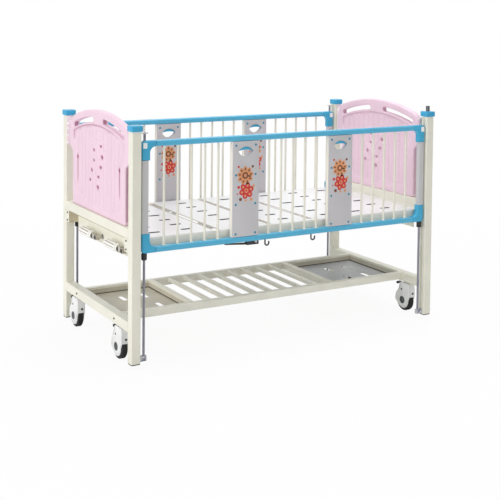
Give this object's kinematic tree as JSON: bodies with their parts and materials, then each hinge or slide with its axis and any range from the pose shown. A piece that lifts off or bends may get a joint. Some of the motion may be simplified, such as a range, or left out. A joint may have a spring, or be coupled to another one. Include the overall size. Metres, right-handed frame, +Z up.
{
  "type": "pediatric hospital cot",
  "caption": "Hospital cot with moulded end panels, drop-down barred side rails, hand-cranked sectioned deck, slatted under-bed shelf and swivelling braked casters",
  "frame": {"origin": "on the floor under the middle of the cot", "axes": "+X toward the head end, +Y toward the far side rail, +Z up"},
  "size_m": [1.852, 0.962, 1.2109],
  "materials": {
    "cream_enamel": "glossy powder coat",
    "deck_enamel": "satin powder coat",
    "shelf_enamel": "satin powder coat",
    "pink_moulding": "glossy blow moulding with printed picture",
    "blue_moulding": "glossy moulded plastic",
    "board_laminate": "printed laminate sheet",
    "blue_enamel": "glossy powder coat",
    "teal_cap": "moulded caps",
    "black_moulding": "matt moulded plastic",
    "white_moulding": "glossy moulded plastic",
    "chrome_plate": "bright plated steel",
    "zinc_steel": "zinc plated steel",
    "grip_moulding": "ribbed moulded plastic",
    "wheel_tread": "grooved rubber"
  },
  "bodies": {
    "frame": {"posts": "cream_enamel", "post_caps": "blue_moulding", "iv_socket": "chrome_plate", "lower_beams": "cream_enamel", "upper_beams": "cream_enamel", "beam_brackets": "cream_enamel", "frame_bolts": "zinc_steel", "foot_panel": "pink_moulding", "head_panel": "pink_moulding", "ear_brackets": "white_moulding", "guide_rods": "chrome_plate", "deck_frame": "cream_enamel", "end_plates": "cream_enamel", "deck_seat": "deck_enamel", "shelf_frame": "shelf_enamel", "shelf_slats": "shelf_enamel", "shelf_trays": "shelf_enamel", "utility_hooks": "zinc_steel", "caster_stems": "zinc_steel"},
    "near_rail": {"near_rail_frame": "blue_enamel", "near_rail_corners": "blue_moulding", "near_rail_bars": "cream_enamel", "near_rail_boards": "board_laminate", "near_rail_rivets": "teal_cap", "near_rail_bushes": "black_moulding"},
    "near_foot_catch": {"near_trigger_foot": "blue_moulding"},
    "near_head_catch": {"near_trigger_head": "blue_moulding"},
    "far_rail": {"far_rail_frame": "blue_enamel", "far_rail_corners": "blue_moulding", "far_rail_bars": "cream_enamel", "far_rail_boards": "board_laminate", "far_rail_rivets": "teal_cap", "far_rail_bushes": "black_moulding"},
    "far_foot_catch": {"far_trigger_foot": "blue_moulding"},
    "far_head_catch": {"far_trigger_head": "blue_moulding"},
    "back_section": {"deck_back": "deck_enamel"},
    "thigh_section": {"deck_thigh": "deck_enamel"},
    "leg_section": {"deck_leg": "deck_enamel"},
    "back_lead_screw": {"back_screw": "zinc_steel"},
    "back_nut_tube": {"back_push_tube": "zinc_steel"},
    "back_arm": {"back_crank_arm": "zinc_steel"},
    "back_spindle": {"back_crank_spindle": "black_moulding"},
    "back_grip": {"back_crank_grip": "grip_moulding"},
    "knee_lead_screw": {"knee_screw": "zinc_steel"},
    "knee_nut_tube": {"knee_push_tube": "zinc_steel"},
    "knee_arm": {"knee_crank_arm": "zinc_steel"},
    "knee_spindle": {"knee_crank_spindle": "black_moulding"},
    "knee_grip": {"knee_crank_grip": "grip_moulding"},
    "caster_foot_near_fork": {"caster_foot_near_hood": "white_moulding"},
    "caster_foot_near_roller": {"caster_foot_near_wheel": "wheel_tread"},
    "caster_foot_near_brake": {"caster_foot_near_pedal": "black_moulding"},
    "caster_foot_far_fork": {"caster_foot_far_hood": "white_moulding"},
    "caster_foot_far_roller": {"caster_foot_far_wheel": "wheel_tread"},
    "caster_foot_far_brake": {"caster_foot_far_pedal": "black_moulding"},
    "caster_head_near_fork": {"caster_head_near_hood": "white_moulding"},
    "caster_head_near_roller": {"caster_head_near_wheel": "wheel_tread"},
    "caster_head_near_brake": {"caster_head_near_pedal": "black_moulding"},
    "caster_head_far_fork": {"caster_head_far_hood": "white_moulding"},
    "caster_head_far_roller": {"caster_head_far_wheel": "wheel_tread"},
    "caster_head_far_brake": {"caster_head_far_pedal": "black_moulding"}
  },
  "joints": [
    {"name": "near_rail_slide", "type": "slide", "parent": "frame", "child": "near_rail", "axis": [0, 0, -1], "range_m": [0, 0.455]},
    {"name": "near_foot_catch_pull", "type": "slide", "parent": "near_rail", "child": "near_foot_catch", "axis": [0, 0, 1], "range_m": [0, 0.008], "stiffness_N_per_m": 300, "springref_m": -0.01},
    {"name": "near_head_catch_pull", "type": "slide", "parent": "near_rail", "child": "near_head_catch", "axis": [0, 0, 1], "range_m": [0, 0.008], "stiffness_N_per_m": 300, "springref_m": -0.01},
    {"name": "far_rail_slide", "type": "slide", "parent": "frame", "child": "far_rail", "axis": [0, 0, -1], "range_m": [0, 0.455]},
    {"name": "far_foot_catch_pull", "type": "slide", "parent": "far_rail", "child": "far_foot_catch", "axis": [0, 0, 1], "range_m": [0, 0.008], "stiffness_N_per_m": 300, "springref_m": -0.01},
    {"name": "far_head_catch_pull", "type": "slide", "parent": "far_rail", "child": "far_head_catch", "axis": [0, 0, 1], "range_m": [0, 0.008], "stiffness_N_per_m": 300, "springref_m": -0.01},
    {"name": "back_lift", "type": "hinge", "parent": "frame", "child": "back_section", "pos_m": [0.172, 0, 0.6], "axis": [0, -1, 0], "range_deg": [0, 70]},
    {"name": "thigh_lift", "type": "hinge", "parent": "frame", "child": "thigh_section", "pos_m": [-0.122, 0, 0.604], "axis": [0, 1, 0], "range_deg": [0, 30]},
    {"name": "leg_fold", "type": "hinge", "parent": "thigh_section", "child": "leg_section", "pos_m": [-0.43, 0, 0.606], "axis": [0, 1, 0], "range_deg": [-50.6, 0]},
    {"name": "back_nut_slide", "type": "slide", "parent": "frame", "child": "back_nut_tube", "axis": [1, 0, 0], "range_m": [0, 0.0758]},
    {"name": "knee_nut_slide", "type": "slide", "parent": "frame", "child": "knee_nut_tube", "axis": [-1, 0, 0], "range_m": [0, 0.0392]},
    {"name": "back_screw_turn", "type": "hinge", "parent": "frame", "child": "back_lead_screw", "pos_m": [-0.6, 0.03, 0.545], "axis": [1, 0, 0], "range_deg": [0, 4485]},
    {"name": "knee_screw_turn", "type": "hinge", "parent": "frame", "child": "knee_lead_screw", "pos_m": [-0.7, -0.318, 0.545], "axis": [-1, 0, 0], "range_deg": [0, 2345]},
    {"name": "back_arm_swing", "type": "hinge", "parent": "frame", "child": "back_arm", "pos_m": [-0.896, 0.03, 0.545], "axis": [1, 0, 0], "range_deg": [-90, 0]},
    {"name": "back_spindle_fold", "type": "hinge", "parent": "back_arm", "child": "back_spindle", "pos_m": [-0.896, 0.076, 0.545], "axis": [0, 0, 1], "range_deg": [0, 90]},
    {"name": "back_grip_spin", "type": "hinge", "parent": "back_spindle", "child": "back_grip", "pos_m": [-0.896, 0.13, 0.545], "axis": [0, 1, 0], "continuous": true},
    {"name": "knee_arm_swing", "type": "hinge", "parent": "frame", "child": "knee_arm", "pos_m": [-0.896, -0.318, 0.545], "axis": [1, 0, 0], "range_deg": [-90, 0]},
    {"name": "knee_spindle_fold", "type": "hinge", "parent": "knee_arm", "child": "knee_spindle", "pos_m": [-0.896, -0.272, 0.545], "axis": [0, 0, 1], "range_deg": [0, 90]},
    {"name": "knee_grip_spin", "type": "hinge", "parent": "knee_spindle", "child": "knee_grip", "pos_m": [-0.896, -0.218, 0.545], "axis": [0, 1, 0], "continuous": true},
    {"name": "caster_foot_near_swivel", "type": "hinge", "parent": "frame", "child": "caster_foot_near_fork", "pos_m": [-0.895, -0.3, 0.15], "axis": [0, 0, 1], "continuous": true},
    {"name": "caster_foot_near_roll", "type": "hinge", "parent": "caster_foot_near_fork", "child": "caster_foot_near_roller", "pos_m": [-0.895, -0.28, 0.0625], "axis": [1, 0, 0], "continuous": true},
    {"name": "caster_foot_near_brake_press", "type": "hinge", "parent": "caster_foot_near_fork", "child": "caster_foot_near_brake", "pos_m": [-0.895, -0.27, 0.1505], "axis": [-1, 0, 0], "range_deg": [0, 15]},
    {"name": "caster_foot_far_swivel", "type": "hinge", "parent": "frame", "child": "caster_foot_far_fork", "pos_m": [-0.895, 0.3, 0.15], "axis": [0, 0, 1], "continuous": true},
    {"name": "caster_foot_far_roll", "type": "hinge", "parent": "caster_foot_far_fork", "child": "caster_foot_far_roller", "pos_m": [-0.895, 0.32, 0.0625], "axis": [1, 0, 0], "continuous": true},
    {"name": "caster_foot_far_brake_press", "type": "hinge", "parent": "caster_foot_far_fork", "child": "caster_foot_far_brake", "pos_m": [-0.895, 0.33, 0.1505], "axis": [-1, 0, 0], "range_deg": [0, 15]},
    {"name": "caster_head_near_swivel", "type": "hinge", "parent": "frame", "child": "caster_head_near_fork", "pos_m": [0.895, -0.3, 0.15], "axis": [0, 0, 1], "continuous": true},
    {"name": "caster_head_near_roll", "type": "hinge", "parent": "caster_head_near_fork", "child": "caster_head_near_roller", "pos_m": [0.895, -0.28, 0.0625], "axis": [1, 0, 0], "continuous": true},
    {"name": "caster_head_near_brake_press", "type": "hinge", "parent": "caster_head_near_fork", "child": "caster_head_near_brake", "pos_m": [0.895, -0.27, 0.1505], "axis": [-1, 0, 0], "range_deg": [0, 15]},
    {"name": "caster_head_far_swivel", "type": "hinge", "parent": "frame", "child": "caster_head_far_fork", "pos_m": [0.895, 0.3, 0.15], "axis": [0, 0, 1], "continuous": true},
    {"name": "caster_head_far_roll", "type": "hinge", "parent": "caster_head_far_fork", "child": "caster_head_far_roller", "pos_m": [0.895, 0.32, 0.0625], "axis": [1, 0, 0], "continuous": true},
    {"name": "caster_head_far_brake_press", "type": "hinge", "parent": "caster_head_far_fork", "child": "caster_head_far_brake", "pos_m": [0.895, 0.33, 0.1505], "axis": [-1, 0, 0], "range_deg": [0, 15]}
  ],
  "couplings": [
    {"joint": "leg_fold", "follows": "thigh_lift", "ratio": -1.68},
    {"joint": "knee_nut_slide", "follows": "thigh_lift", "m_per_rad": 0.07469},
    {"joint": "knee_screw_turn", "follows": "thigh_lift", "ratio": 78},
    {"joint": "back_nut_slide", "follows": "back_lift", "m_per_rad": 0.06197},
    {"joint": "back_screw_turn", "follows": "back_lift", "ratio": 64}
  ]
}
